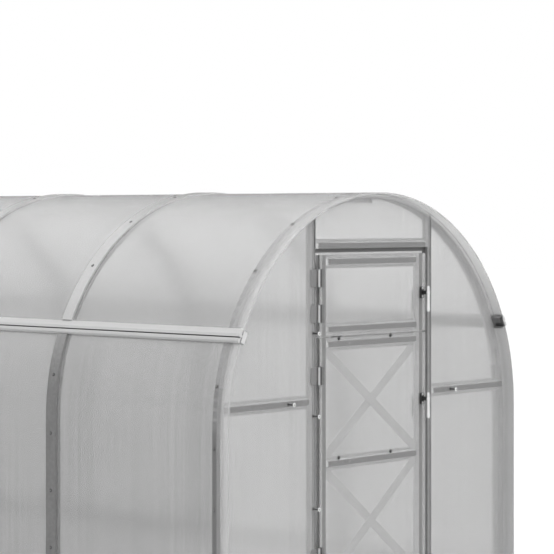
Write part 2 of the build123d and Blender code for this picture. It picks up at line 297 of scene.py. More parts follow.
class SurfaceBench(ShaderBench):
    """Bench of one material, with its surface shader and the shaded point's place in the frame."""

    def __init__(self, made: bpy.types.Material) -> None:
        """Works on a material.

        Args:
            made: Material with its own surface shader.
        """
        super().__init__(made.node_tree)
        self.surface = made.node_tree.nodes["Principled BSDF"]
        self.place = self.add("TexCoord").outputs["Object"]

    @property
    def colour(self) -> Socket:
        """Output that the surface reads its colour from."""
        return self.surface.inputs["Base Color"].links[0].from_socket

    def axes(self) -> Outputs:
        """X, Y and Z of the shaded point."""
        return self.add("SeparateXYZ", self.place).outputs

    def dress(self, **inputs: object) -> None:
        """Gives the surface's inputs, named with _ for a space, their outputs or values."""
        self.feed(self.surface, **inputs)

    def raise_by(self, height: Socket, relief: Pair) -> None:
        """Raises the surface by a height, with the relief's strength and depth."""
        bump = self.add("Bump", *relief, Height=height)
        self.dress(Normal=bump.outputs["Normal"])


@dataclass(frozen=True)
class Zone:
    """Part of a surface, within reach of a line or plane, that takes another colour; some zones are painted
    shade and painted highlights.

    Counted holds one for each axis that the distance counts along, and zero for the rest.
    """

    colour: Colour
    counted: Triple
    reach: float
    centre: Triple = (0.0, 0.0, 0.0)
    soft: float = 0.0004
    right_of: float | None = None

    def lay(self, bench: SurfaceBench) -> None:
        """Lays the zone's colour over a material.

        Args:
            bench: Bench of the material.
        """
        flat = bench.add("VectorMath", bench.place, self.counted, operation="MULTIPLY").outputs[0]
        away = bench.add("VectorMath", flat, self.centre, operation="DISTANCE").outputs["Value"]
        inside = bench.spread(away, 1.0, 0.0, self.reach, self.reach + self.soft)
        if self.right_of is not None:
            right = bench.math("GREATER_THAN", bench.axes()["X"], self.right_of)
            inside = bench.math("MULTIPLY", inside, right)
        bench.dress(Base_Color=bench.mix(inside, bench.colour, self.colour))


@dataclass(frozen=True)
class EffectInput:
    """Input of a shared effect."""

    name: str
    value: float = 0.0
    kind: str = "NodeSocketFloat"


PLACE = EffectInput("Place", kind="NodeSocketVector")


class Effect(ShaderBench):
    """Shader node group that several finishes share, as the bench that it is wired on."""

    title: str = ""
    inputs: tuple[EffectInput, ...] = ()
    outputs: tuple[str, ...] = ()

    def __init__(self, tree: bpy.types.NodeTree) -> None:
        """Works on the group's node tree."""
        super().__init__(tree)
        self.given = tree.nodes.new("NodeGroupInput").outputs

    @classmethod
    def group(cls) -> bpy.types.NodeTree:
        """Builds the effect's node group the first time it is asked for.

        Returns:
            The node group.
        """
        found = bpy.data.node_groups.get(cls.title)
        if found:
            return found
        tree = bpy.data.node_groups.new(cls.title, "ShaderNodeTree")
        for item in cls.inputs:
            socket = tree.interface.new_socket(item.name, in_out="INPUT", socket_type=item.kind)
            if item is not PLACE:
                socket.default_value = item.value
        for name in cls.outputs:
            tree.interface.new_socket(name, in_out="OUTPUT", socket_type="NodeSocketFloat")
        effect = cls(tree)
        effect.feed(tree.nodes.new("NodeGroupOutput"), **effect.wire())
        return tree

    def wire(self) -> dict[str, Socket]:
        """Wires the group and gives its outputs by name."""
        raise NotImplementedError

    @classmethod
    def use(cls, bench: ShaderBench, **values: object) -> Outputs:
        """Places the group in a material with values or outputs for its inputs."""
        return bench.add("Group", node_tree=cls.group(), **values).outputs


class Mottle(Effect):
    """Soft uneven tone at two sizes, for finishes that aren't perfectly even."""

    title = "mottle"
    inputs = (PLACE, EffectInput("Size", 0.1), EffectInput("Strength", 0.2))
    outputs = ("Tone", "Grain")
    fineness = 24.0

    def wire(self) -> dict[str, Socket]:
        """Wires a broad cloud and a fine grain.

        Returns:
            The cloud's tone and the grain.
        """
        given = self.given
        scale = self.math("DIVIDE", 1.0, given["Size"])
        fine_scale = self.math("MULTIPLY", scale, self.fineness)
        broad = self.add("TexNoise", Vector=given["Place"], Scale=scale, Detail=3.0, Roughness=0.55)
        fine = self.add("TexNoise", Vector=given["Place"], Scale=fine_scale, Detail=2.0, Roughness=0.5)
        return {"Tone": self.tone(broad.outputs["Fac"], given["Strength"]), "Grain": fine.outputs["Fac"]}


class Spangle(Effect):
    """Crystal facets of hot-dip zinc."""

    title = "zinc spangle"
    inputs = (PLACE, EffectInput("Crystal", 0.012))
    outputs = ("Facet", "Boundary")
    boundary_width = 0.08

    def wire(self) -> dict[str, Socket]:
        """Wires the crystals' own tones and their edges.

        Returns:
            The tone of each facet and a mask of the boundaries.
        """
        given = self.given
        known = {"Vector": given["Place"], "Scale": self.math("DIVIDE", 1.0, given["Crystal"])}
        cells = self.add("TexVoronoi", feature="F1", **known)
        edges = self.add("TexVoronoi", feature="DISTANCE_TO_EDGE", **known)
        parts = self.add("SeparateColor", cells.outputs["Color"])
        boundary = self.spread(edges.outputs["Distance"], 1.0, 0.0, 0.0, self.boundary_width)
        return {"Facet": parts.outputs[0], "Boundary": boundary}


class FluteLines(Effect):
    """Webs between the two skins of a twin-wall sheet, seen through the outer skin."""

    title = "flute lines"
    inputs = (EffectInput("Across"), EffectInput("Pitch", 0.006), EffectInput("Web", 0.2))
    outputs = ("Line", "Height")

    def wire(self) -> dict[str, Socket]:
        """Wires a repeating line and the slight sag of the skin between webs.

        Returns:
            A mask of the webs and the skin's height.
        """
        given = self.given
        phase = self.math("FRACT", self.math("DIVIDE", given["Across"], given["Pitch"]))
        centred = self.math("ABSOLUTE", self.math("SUBTRACT", phase, 0.5))
        reach = self.math("SUBTRACT", centred, self.math("SUBTRACT", 0.5, given["Web"]))
        line = self.math("DIVIDE", self.math("MAXIMUM", reach, 0.0), given["Web"])
        sag = self.math("COSINE", self.math("MULTIPLY", phase, 2 * math.pi))
        return {"Line": line, "Height": self.spread(sag, 0.0, 1.0, -1.0, 1.0)}


class Streaks(Effect):
    """Long uneven streaks that rolling or drawing leaves along one axis."""

    title = "streaks"
    inputs = (
        EffectInput("Across"),
        EffectInput("Along"),
        EffectInput("Width", 0.01),
        EffectInput("Strength", 0.05),
    )
    outputs = ("Tone",)
    stretch = 0.08
    off_lattice = 0.5

    def wire(self) -> dict[str, Socket]:
        """Wires a stretched noise, read between its lattice lines, where it is strongest.

        Returns:
            The streaks' tone.
        """
        given = self.given
        across = self.math("DIVIDE", given["Across"], given["Width"])
        along = self.math("MULTIPLY_ADD", given["Along"], self.stretch, self.off_lattice)
        point = self.add("CombineXYZ", across, along, self.off_lattice)
        noise = self.add("TexNoise", Vector=point.outputs[0], Scale=1.0, Detail=1.0)
        return {"Tone": self.tone(noise.outputs["Fac"], given["Strength"])}


class WornEdges(Effect):
    """Outside corners where a coating is rubbed thin."""

    title = "worn edges"
    inputs = (EffectInput("Width", 0.0012), EffectInput("Grain", 0.5))
    outputs = ("Mask",)
    bend = (0.75, 0.98)
    break_up = (0.4, 1.0, 0.35, 0.65)

    def wire(self) -> dict[str, Socket]:
        """Wires the turn of a rounded normal, broken up by grain.

        Returns:
            A mask of the corners.
        """
        given = self.given
        rounded = self.add("Bevel", given["Width"], samples=4).outputs["Normal"]
        flat = self.add("NewGeometry").outputs["Normal"]
        turn = self.add("VectorMath", rounded, flat, operation="DOT_PRODUCT").outputs["Value"]
        bent = self.spread(turn, 1.0, 0.0, *self.bend)
        return {"Mask": self.math("MULTIPLY", bent, self.spread(given["Grain"], *self.break_up))}


class GroundSplash(Effect):
    """Dull film that rain splashes onto the lowest part of a building."""

    title = "ground splash"
    inputs = (EffectInput("Height", 1.0), EffectInput("Reach", 0.25), EffectInput("Grain", 0.5))
    outputs = ("Film",)
    break_up = (0.3, 1.0, 0.3, 0.7)

    def wire(self) -> dict[str, Socket]:
        """Wires a film that fades with height, broken up by grain.

        Returns:
            The share of film.
        """
        given = self.given
        rise = self.math("DIVIDE", given["Height"], given["Reach"])
        film = self.math("MAXIMUM", self.math("SUBTRACT", 1.0, rise), 0.0)
        return {"Film": self.math("MULTIPLY", film, self.spread(given["Grain"], *self.break_up))}


@dataclass(frozen=True)
class Finish:
    """Finish of a surface, as one material with its own name.

    Its cloud is the size and strength of its uneven tone, and its relief the strength and depth of
    its fine bumps.
    """

    name: str
    cloud: Pair = (0.2, 0.16)
    relief: Pair = (0.12, 0.0001)

    def material(self) -> bpy.types.Material:
        """Builds the finish's material the first time it is asked for.

        Returns:
            The material.
        """
        found = bpy.data.materials.get(self.name)
        if found:
            return found
        made = bpy.data.materials.new(self.name)
        made.use_nodes = True
        self.wire(SurfaceBench(made))
        return made

    def wire(self, bench: SurfaceBench) -> None:
        """Wires the material on its bench."""
        raise NotImplementedError

    def clouds(self, bench: SurfaceBench) -> Outputs:
        """Tone and grain of the finish's mottle."""
        return Mottle.use(bench, Place=bench.place, Size=self.cloud[0], Strength=self.cloud[1])


@dataclass(frozen=True)
class GroundFinish(Finish):
    """Finish that reaches the ground, where rain splash leaves a film of some share and tone."""

    film: Pair = (0.35, 0.32)

    def splashed(self, bench: SurfaceBench, colour: Socket, grain: Socket) -> Socket:
        """Lays the splash film over a colour.

        Args:
            bench: Bench of the material.
            colour: Colour of the clean surface.
            grain: Grain that breaks up the film.

        Returns:
            The colour with the film on it.
        """
        share, tone = self.film
        splash = GroundSplash.use(bench, Height=bench.axes()["Z"], Grain=grain)
        return bench.mix(bench.math("MULTIPLY", splash["Film"], share), colour, shade(tone))


@dataclass(frozen=True)
class TwinWall(GroundFinish):
    """Milky twin-wall sheet: rough, half clear, with webs that show as fine lines."""

    cloud: Pair = (0.35, 0.06)
    relief: Pair = (0.25, 0.0002)
    film: Pair = (0.12, 0.5)
    flutes: Flutes = Flutes.ALONG_HOUSE
    skin: Colour = shade(0.93)
    web: Colour = shade(0.80)
    clearness: float = 0.78
    roughness: float = 0.22
    rough_swing: float = 0.02
    streak: float = 0.10
    streak_width: float = 0.012
    bend: float = 1.22
    pitch: float = 0.006

    def wire(self, bench: SurfaceBench) -> None:
        """Wires the webs, streaks, mottle and splash film.

        Args:
            bench: Bench of the material.
        """
        axes = bench.axes()
        across = axes[self.flutes.value]
        lines = FluteLines.use(bench, Across=across, Pitch=self.pitch)
        marks = {"Width": self.streak_width, "Strength": self.streak}
        streaks = Streaks.use(bench, Across=across, Along=axes["Z"], **marks)
        cloud = self.clouds(bench)
        tone = bench.math("MULTIPLY", cloud["Tone"], streaks["Tone"])
        clean = bench.toned(bench.mix(lines["Line"], self.skin, self.web), tone)
        bench.dress(
            Base_Color=self.splashed(bench, clean, cloud["Grain"]),
            Roughness=bench.around(cloud["Grain"], self.roughness, self.rough_swing),
            Transmission_Weight=self.clearness,
            IOR=self.bend,
        )
        bench.raise_by(lines["Height"], self.relief)


@dataclass(frozen=True)
class Zinc(GroundFinish):
    """Galvanised steel with faint crystals."""

    tone: Colour = shade(0.37)
    metal: float = 0.5
    roughness: float = 0.40
    crystal: float = 0.014
    contrast: float = 0.07
    boundary_tone: float = 0.95

    def wire(self, bench: SurfaceBench) -> None:
        """Wires the crystals, mottle and splash film.

        Args:
            bench: Bench of the material.
        """
        facets = Spangle.use(bench, Place=bench.place, Crystal=self.crystal)
        cloud = self.clouds(bench)
        boundary = bench.spread(facets["Boundary"], 1.0, self.boundary_tone)
        crystals = bench.math("MULTIPLY", bench.around(facets["Facet"], 1, self.contrast), boundary)
        clean = bench.toned(self.tone, bench.math("MULTIPLY", crystals, cloud["Tone"]))
        bench.dress(
            Base_Color=self.splashed(bench, clean, cloud["Grain"]),
            Metallic=self.metal,
            Roughness=bench.around(facets["Facet"], self.roughness, self.contrast),
        )
        bench.raise_by(cloud["Grain"], self.relief)


@dataclass(frozen=True)
class EndSteel(Zinc):
    """Zinc of the end frames, with painted shade on the feet that stand back from the sheets."""

    crown: float = 2.0285
    foot: float = 2.0125
    foot_shade_share: float = 0.55

    def wire(self, bench: SurfaceBench) -> None:
        """Wires the zinc, and then the painted shade on the feet.

        Args:
            bench: Bench of the material.
        """
        super().wire(bench)
        # Painted shade: the tone falls from the crown towards the feet, which sit deeper behind the sheets.
        depth = bench.math("ABSOLUTE", bench.axes()["Y"])
        painted_foot_shade = bench.spread(depth, self.foot_shade_share, 1.0, self.foot, self.crown)
        bench.dress(Base_Color=bench.toned(bench.colour, painted_foot_shade))


@dataclass(frozen=True)
class DrawnMetal(Finish):
    """Drawn or brushed metal with fine lines along one axis, and zones of other colours."""

    cloud: Pair = (0.25, 0.08)
    relief: Pair = (0.1, 0.00005)
    tone: Colour = shade(0.72)
    metal: float = 0.3
    roughness: float = 0.34
    rough_swing: Pair = (-0.05, 0.06)
    line_tones: Pair = (0.96, 1.04)
    line_range: Pair = (0.3, 0.7)
    worn_gain: float = 1.12
    stretch: Triple = (400.0, 3.0, 400.0)
    zones: tuple[Zone, ...] = ()

    def wire(self, bench: SurfaceBench) -> None:
        """Wires the drawing lines, mottle and worn corners, and the zones over them.

        Args:
            bench: Bench of the material.
        """
        stretched = bench.add("Mapping", bench.place, vector_type="POINT", Scale=self.stretch)
        noise = bench.add("TexNoise", Vector=stretched.outputs["Vector"], Scale=1.0, Detail=2.0)
        lines = noise.outputs["Fac"]
        cloud = self.clouds(bench)
        worn = WornEdges.use(bench, Grain=cloud["Grain"])
        tone = bench.math("MULTIPLY", bench.spread(lines, *self.line_tones, *self.line_range), cloud["Tone"])
        bright = tuple(min(1.0, part * self.worn_gain) for part in self.tone)
        low, high = (self.roughness + swing for swing in self.rough_swing)
        bench.dress(
            Base_Color=bench.mix(worn["Mask"], bench.toned(self.tone, tone), bright),
            Metallic=self.metal,
            Roughness=bench.spread(lines, low, high),
        )
        bench.raise_by(lines, self.relief)
        for zone in self.zones:
            zone.lay(bench)


@dataclass(frozen=True)
class Coated(Finish):
    """Moulded or powder-coated surface with a fine pebble and rubbed corners."""

    cloud: Pair = (0.03, 0.25)
    relief: Pair = (0.15, 0.00006)
    tone: Colour = shade(0.03)
    worn_tone: Colour = shade(0.12)
    roughness: float = 0.45
    rough_swing: float = 0.08
    pebble: float = 0.0012

    def wire(self, bench: SurfaceBench) -> None:
        """Wires the pebble, mottle and rubbed corners.

        Args:
            bench: Bench of the material.
        """
        cloud = self.clouds(bench)
        worn = WornEdges.use(bench, Grain=cloud["Grain"])
        bench.dress(
            Base_Color=bench.mix(worn["Mask"], bench.toned(self.tone, cloud["Tone"]), self.worn_tone),
            Roughness=bench.around(cloud["Grain"], self.roughness, self.rough_swing),
        )
        pebbles = bench.add("TexVoronoi", feature="F1", Vector=bench.place, Scale=1 / self.pebble)
        bench.raise_by(pebbles.outputs["Distance"], self.relief)


UPRIGHT = (300.0, 300.0, 20.0)
HINGE_PIN = (-0.384, -2.042, 0.0)
# Painted shade: a near-black band on the leaf plate right of each hinge barrel, where the gap beside the
# barrel lies in shade.
PAINTED_GAP_SHADE = Zone(shade(0.02), (1.0, 1.0, 0.0), 0.0205, HINGE_PIN, right_of=HINGE_PIN[0])
# Painted highlight: the hinge barrel is painted near white for the light it catches.
PAINTED_BARREL_HIGHLIGHT = Zone(shade(0.88), (1.0, 1.0, 0.0), 0.0062, HINGE_PIN)
SPINDLE_SLEEVE = Zone(shade(0.02), (0.0, 1.0, 0.0), 2.0734)


def painted_channel_shade(tone: float) -> Zone:
    """Channel of a joint strip, inside the arch of the sheets, darkened as painted shade."""
    return Zone(shade(tone), (1.0, 0.0, 1.0), 0.9945, (0.0, 0.0, HOUSE.wall_height), soft=0.001)


ROOF_SHEET = TwinWall("roof sheet", streak=0.07)
WALL_SHEET = TwinWall("wall sheet", streak=0.15)
GABLE_SHEET = TwinWall("gable sheet", flutes=Flutes.ACROSS_HOUSE)
STEEL = Zinc("galvanised steel")
END_STEEL = EndSteel("galvanised end steel", tone=shade(0.38))
POST_STEEL = EndSteel("galvanised post steel", tone=shade(0.22), foot_shade_share=0.6)
STILE_STEEL = EndSteel("galvanised stile steel", tone=shade(0.46), foot_shade_share=1.0)
BOW_STEEL = Zinc("galvanised bow steel", tone=shade(0.36), metal=0.4)
LEG_STEEL = Zinc("galvanised leg steel", tone=shade(0.17), metal=0.6)
# The roof and wall straps are one galvanised steel: the roof straps' lighter tone is painted light and the
# wall straps' darker tone is painted shade.
LIT_ROOF_STRAP = Zinc("galvanised strap", tone=shade(0.62), metal=0.6, roughness=0.36, contrast=0.03)
SHADED_WALL_STRAP = Zinc("galvanised wall strap", tone=shade(0.38), metal=0.6, roughness=0.36)
# The two strips are one metal: the inside of each channel is painted shade, deeper on the right strip than
# on the left.
LEFT_STRIP = DrawnMetal("left joint strip metal", tone=shade(0.60), zones=(painted_channel_shade(0.42),))
RIGHT_STRIP = DrawnMetal("right joint strip metal", tone=shade(0.60), zones=(painted_channel_shade(0.16),))
HINGE = DrawnMetal(
    "bright zinc hinge", tone=shade(0.27), metal=0.7, stretch=UPRIGHT, zones=(PAINTED_GAP_SHADE, PAINTED_BARREL_HIGHLIGHT)
)
HINGE_WING = Zinc("hinge wing zinc", tone=shade(0.27), crystal=0.006)
HINGE_SCREW = Zinc("hinge screw zinc", tone=shade(0.36), metal=0.7, roughness=0.34, crystal=0.004)
LEVER = DrawnMetal(
    "brushed lever", tone=shade(0.88), metal=0.4, stretch=UPRIGHT, zones=(SPINDLE_SLEEVE,)
)
RING = DrawnMetal("bright ring", tone=shade(0.85), metal=0.4, stretch=(300.0, 300.0, 300.0))
LOCK = Coated("black lock body")
RUBBER = Coated("seal rubber", tone=shade(0.035), worn_tone=shade(0.06), roughness=0.6)
PLUG = Coated("pale end plug", tone=shade(0.55), worn_tone=shade(0.62), roughness=0.5)
NYLON = Coated("pale washer nylon", tone=shade(0.82), worn_tone=shade(0.9), roughness=0.4)
DARK_BOLT = Zinc("dark bolt steel", tone=shade(0.09), metal=0.6, roughness=0.36, crystal=0.004)
SCREW = Zinc("screw zinc", tone=shade(0.42), metal=0.6, roughness=0.34, crystal=0.004)


def new_object(name: str, data: bpy.types.ID) -> bpy.types.Object:
    """Makes an object and puts it into the scene.

    Args:
        name: Name of the object.
        data: Mesh, lamp or camera that it holds.

    Returns:
        The new object.
    """
    made = bpy.data.objects.new(name, data)
    bpy.context.scene.collection.objects.link(made)
    return made


@dataclass
class MeshPad:
    """Points and faces gathered for one piece, with a finish for each face."""

    name: str
    smooth_angle: float = 40.0
    points: list[Vector] = field(default_factory=list)
    faces: list[tuple[int, ...]] = field(default_factory=list)
    finishes: list[Finish] = field(default_factory=list)
    face_finish: list[int] = field(default_factory=list)

    def shell(self, rings: list[list[Vector]], finish: Finish) -> None:
        """Adds a form through rings of points, closed at both ends.

        Args:
            rings: Points of each ring, in order along the form.
            finish: Finish of the form.
        """
        sides = len(rings[0])
        first = len(self.points)
        starts = range(first, first + sides * len(rings), sides)
        numbers = [tuple(range(start, start + sides)) for start in starts]
        made = [numbers[0][::-1], numbers[-1]]
        for low, high in zip(numbers, numbers[1:]):
            for corner in range(sides):
                after = (corner + 1) % sides
                made.append((low[corner], low[after], high[after], high[corner]))
        for ring in rings:
            self.points += ring
        if finish not in self.finishes:
            self.finishes.append(finish)
        self.faces += made
        self.face_finish += [self.finishes.index(finish)] * len(made)

    def turned(self, seat: Seat, outline: Profile, sides: int, finish: Finish) -> None:
        """Adds a closed form turned about the way out of its seat.

        Args:
            seat: Where the form stands.
            outline: Radius and height of each ring, from the seat outwards.
            sides: Number of sides of each ring.
            finish: Finish of the form.
        """
        first, second = seat.axes()
        angles = [2 * math.pi * number / sides for number in range(sides)]
        spokes = [first * math.cos(angle) + second * math.sin(angle) for angle in angles]
        rings = [
            [seat.raised(height).point + spoke * radius for spoke in spokes] for radius, height in outline
        ]
        self.shell(rings, finish)

    def swept(self, path: list[Vector], outline: Profile, across: Vector, finish: Finish) -> None:
        """Adds a straight closed bar of one section.

        Args:
            path: Start and end of the bar.
            outline: Corners of the section, along across and along the third direction.
            across: First direction of the section.
            finish: Finish of the bar.
        """
        up = (path[-1] - path[0]).normalized().cross(across).normalized()
        rings = [[point + across * first + up * second for first, second in outline] for point in path]
        self.shell(rings, finish)

    def piece(self, body: Body) -> None:
        """Makes the piece and lets it ride on a body.

        Args:
            body: Body that carries the piece.
        """
        mesh = bpy.data.meshes.new(self.name)
        mesh.from_pydata([tuple(point) for point in self.points], [], self.faces)
        for finish in self.finishes:
            mesh.materials.append(finish.material())
        mesh.polygons.foreach_set("material_index", self.face_finish)
        mesh.update()
        mesh.shade_smooth()
        mesh.set_sharp_from_angle(angle=math.radians(self.smooth_angle))
        made = new_object(self.name, mesh)
        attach(made, body.value)
        log.info("%s: %d faces", self.name, len(self.faces))


def dress(finish: Finish, *nodes: str) -> None:
    """Gives carried-over nodes a finish.

    Args:
        finish: Finish of the nodes.
        nodes: Names of the nodes.
    """
    for name in nodes:
        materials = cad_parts[name].data.materials
        if not materials:
            materials.append(finish.material())
        for number in range(len(materials)):
            materials[number] = finish.material()
    log.info("%s: %s", finish.name, ", ".join(nodes))


def flat_head(radius: float, rim: float, top: float, height: float) -> Profile:
    """Outline of a head with a bevelled rim, by its rim's height and its top's radius."""
    return [(radius, 0), (radius, rim), (top, height)]


def dome(radius: float, height: float) -> Profile:
    """Outline of a domed head."""
    return [(radius * math.sqrt(1 - step**2), height * step) for step in (0.0, 0.35, 0.65, 0.85, 0.97)]


@dataclass(frozen=True)
class Form:
    """Turned form of a fastener, lifted off its seat."""

    outline: Profile
    sides: int
    finish: Finish
    lift: float = 0.0


HEXAGON = 6


class Fastener(Enum):
    """Screws, bolts and rivets by their real sizes, each as the forms it consists of."""

    ROOF_SCREW = (
        Form(flat_head(0.0075, 0.00072, 0.006, 0.0012), 14, DARK_BOLT),
        Form(flat_head(0.004, 0.00225, 0.0032, 0.003), HEXAGON, SCREW, lift=0.00096),
    )
    DOME_BOLT = (Form(dome(0.0085, 0.006), 16, DARK_BOLT),)
    RIVET = (Form(flat_head(0.004, 0.0008, 0.0024, 0.0014), 12, SCREW),)
    COUNTERSUNK = (
        Form(flat_head(0.004, 0.0002, 0.0032, 0.0005), 12, HINGE_SCREW),
        Form([(0.0016, 0), (0.0016, 0.0003)], HEXAGON, RUBBER, lift=0.0003),
    )
    STAND_OFF = (
        Form([(0.0068, 0), (0.00544, 0.002)], 14, DARK_BOLT),
        Form([(0.0034, 0), (0.0034, 0.034)], 12, DARK_BOLT),
        Form([(0.00765, 0), (0.0085, 0.0009), (0.0085, 0.0021), (0.007225, 0.003)], 20, NYLON, lift=0.0325),
        Form(flat_head(0.0034, 0.0012, 0.00272, 0.0018), HEXAGON, DARK_BOLT, lift=0.0355),
    )
    RING_SCREW = (
        Form(flat_head(0.0055, 0.001, 0.0045, 0.0018), 16, RING),
        Form([(0.002, 0), (0.002, 0.0003)], HEXAGON, RUBBER, lift=0.0018),
    )

    def stand(self, pad: MeshPad, seat: Seat) -> None:
        """Adds the fastener's forms to a piece, on a seat."""
        for form in self.value:
            pad.turned(seat.raised(form.lift), form.outline, form.sides, form.finish)


@dataclass
class ArchFrames:
    """Bows, legs, splices, base rails and purlin that carry the sheets."""

    places: tuple[str, ...] = ("front", "second", "third", "fourth", "rear")
    splice_paths: Places = (0.13, 0.16, 0.20, 0.235)
    splice_depth: float = 0.005

    def dress_nodes(self) -> None:
        """Gives the rolled steel its galvanised finish."""
        dress(BOW_STEEL, *[f"{place}_arch_bow" for place in self.places])
        for side in ("left", "right"):
            dress(LEG_STEEL, f"{side}_arch_legs", f"{side}_arch_splices")
            dress(STEEL, f"{side}_base_rails")
        dress(STEEL, "ridge_purlin")

    def splice_bolts(self) -> None:
        """Builds the bolts through the splices, inside the house."""
        pad = MeshPad("splice_bolts")
        inner = HOUSE.arch_radius - HOUSE.sheet - self.splice_depth
        for side in Side:
            for y in HOUSE.arch_places:
                for path in self.splice_paths:
                    seat = arch_seat(side, path, y, inner)
                    Fastener.RIVET.stand(pad, Seat(seat.point, -seat.out))
        pad.piece(Body.HOUSE)

    def build(self) -> None:
        """Dresses the frames and adds their bolts."""
        self.dress_nodes()
        self.splice_bolts()


@dataclass
class Cladding:
    """Sheets of the roof and walls, with the straps and screws that hold them."""

    roof_paths: Places = (0.727, 1.037, 1.347)
    wall_paths: Places = (0.187, -0.073, -0.328, -0.583, -0.790)

    def dress_nodes(self) -> None:
        """Gives the sheets and straps their finishes."""
        dress(ROOF_SHEET, *[f"roof_sheet_{number + 1}" for number in range(HOUSE.bays)])
        dress(WALL_SHEET, "left_wall_sheets", "right_wall_sheets")
        dress(LIT_ROOF_STRAP, *[f"roof_strap_{number + 1}" for number in range(HOUSE.bays - 1)])
        dress(SHADED_WALL_STRAP, "left_wall_straps", "right_wall_straps")

    def screws(self, name: str, sides: tuple[Side, ...], paths: Places) -> None:
        """Builds a set of sheet screws.

        Args:
            name: Name of the piece.
            sides: Sides of the house that the screws are on.
            paths: Places of the screws along the arch, from its spring line.
        """
        pad = MeshPad(name)
        ends = (HOUSE.arch_places[0], HOUSE.arch_places[-1])
        for side in sides:
            for y in HOUSE.arch_places:
                lift = 0 if y in ends else HOUSE.strap_height
                for path in paths:
                    Fastener.ROOF_SCREW.stand(pad, arch_seat(side, path, y, HOUSE.arch_radius + lift))
        pad.piece(Body.HOUSE)

    def build(self) -> None:
        """Dresses the cladding and adds its screws."""
        self.dress_nodes()
        self.screws("roof_screws", (Side.LEFT, Side.RIGHT), self.roof_paths)
        self.screws("left_wall_screws", (Side.LEFT,), self.wall_paths)
        self.screws("right_wall_screws", (Side.RIGHT,), self.wall_paths)


@dataclass
class JointStrips:
    """Hollow strips between the roof and the walls, with their seals and end plugs."""

    seal_height: float = 0.0055
    seal_play: float = 0.0002
    seal_shoulder: float = 0.7
    seal_crown: float = 0.5
    end_gap: float = 0.004
    channel_middle: float = 0.0195
    plug_half: Pair = (0.0109, 0.0249)
    plug_thickness: float = 0.004
    plug_chamfer: float = 0.002
    plug_inset: float = 0.0005

    def middle(self, side: Side, radius: float) -> Seat:
        """Seat in the middle of a strip's length, at a distance from the arch's centre."""
        return arch_seat(side, HOUSE.strip_angle * HOUSE.arch_radius, 0.0, radius)

    def seal(self, side: Side) -> None:
        """Builds the seal that lies in a strip's groove.

        Args:
            side: Side of the house that the strip is on.
        """
        rim = self.middle(side, HOUSE.arch_radius + HOUSE.strip_rim)
        bed = rim.point + side.slanted(HOUSE.strip_angle - math.pi / 2) * HOUSE.groove_drop
        reach = Vector((0, -HOUSE.front - self.end_gap, 0))
        half = HOUSE.groove_width / 2 - self.seal_play
        shoulder = self.seal_height * self.seal_shoulder
        crown = half * self.seal_crown
        lip = [(shoulder, -half), (self.seal_height, -crown), (self.seal_height, crown), (shoulder, half)]
        pad = MeshPad(f"{side.name.lower()}_strip_seal")
        pad.swept([bed - reach, bed + reach], [(0, -half), *lip, (0, half)], rim.out, RUBBER)
        pad.piece(Body.HOUSE)

    def end_plugs(self, side: Side) -> None:
        """Builds the plugs that close both ends of a strip's inner channel.

        Args:
            side: Side of the house that the strip is on.
        """
        core = self.middle(side, HOUSE.arch_radius - self.channel_middle)
        deep, wide = self.plug_half
        cut = self.plug_chamfer
        upper = [(deep, cut - wide), (deep, wide - cut), (deep - cut, wide), (cut - deep, wide)]
        section = upper + [(-first, -second) for first, second in upper]
        outer = -HOUSE.front - self.plug_inset
        pad = MeshPad(f"{side.name.lower()}_strip_plugs")
        for end in (-1, 1):
            faces = [Vector((0, end * y, 0)) for y in (outer, outer - self.plug_thickness)]
            pad.swept([core.point + face for face in faces], section, core.out, PLUG)
        pad.piece(Body.HOUSE)

    def build(self) -> None:
        """Dresses the strips and adds their seals and plugs."""
        dress(LEFT_STRIP, "left_joint_strip")
        dress(RIGHT_STRIP, "right_joint_strip")
        for side in Side:
            self.seal(side)
        self.end_plugs(Side.LEFT)


@dataclass
class GableEnds:
    """Posts, rails and sheets of both ends, with the fixings of the door end."""

    post_heights: Places = (1.235, 0.876, 0.474, 0.12)
    post_screw_x: float = -0.415
    rail_x: Pair = (-0.577, 0.557)
    sheet_screw_heights: Places = (0.2, 0.55, 1.3)

    def dress_nodes(self) -> None:
        """Gives the ends' steel and sheets their finishes."""
        dress(POST_STEEL, "left_door_post")
        dress(END_STEEL, "right_door_post", "door_header")
        dress(END_STEEL, "front_side_rails", "front_base_rails")
        dress(END_STEEL, "rear_posts", "rear_rails", "rear_base_rails")
        dress(GABLE_SHEET, "front_left_sheet", "front_right_sheet", "front_top_sheet", "rear_gable_sheet")

    def stand_offs(self) -> None:
        """Builds the long screws on the hinge post and the side rails."""
        pad = MeshPad("stand_off_screws")
        on_post = [(self.post_screw_x, height) for height in self.post_heights]
        for x, height in on_post + [(x, HOUSE.side_rail) for x in self.rail_x]:
            Fastener.STAND_OFF.stand(pad, end_seat(x, HOUSE.gable_sheet_face, height))
        pad.piece(Body.HOUSE)

    def rear_screws(self) -> None:
        """Builds the sheet screws of the far end."""
        pad = MeshPad("rear_sheet_screws")
        for side in Side:
            for height in self.sheet_screw_heights:
                seat = end_seat(side.value * HOUSE.post_x, -HOUSE.gable_sheet_face, height)
                Fastener.ROOF_SCREW.stand(pad, seat)
        pad.piece(Body.HOUSE)

    def build(self) -> None:
        """Dresses the ends and adds their fixings."""
        self.dress_nodes()
        self.stand_offs()
        self.rear_screws()


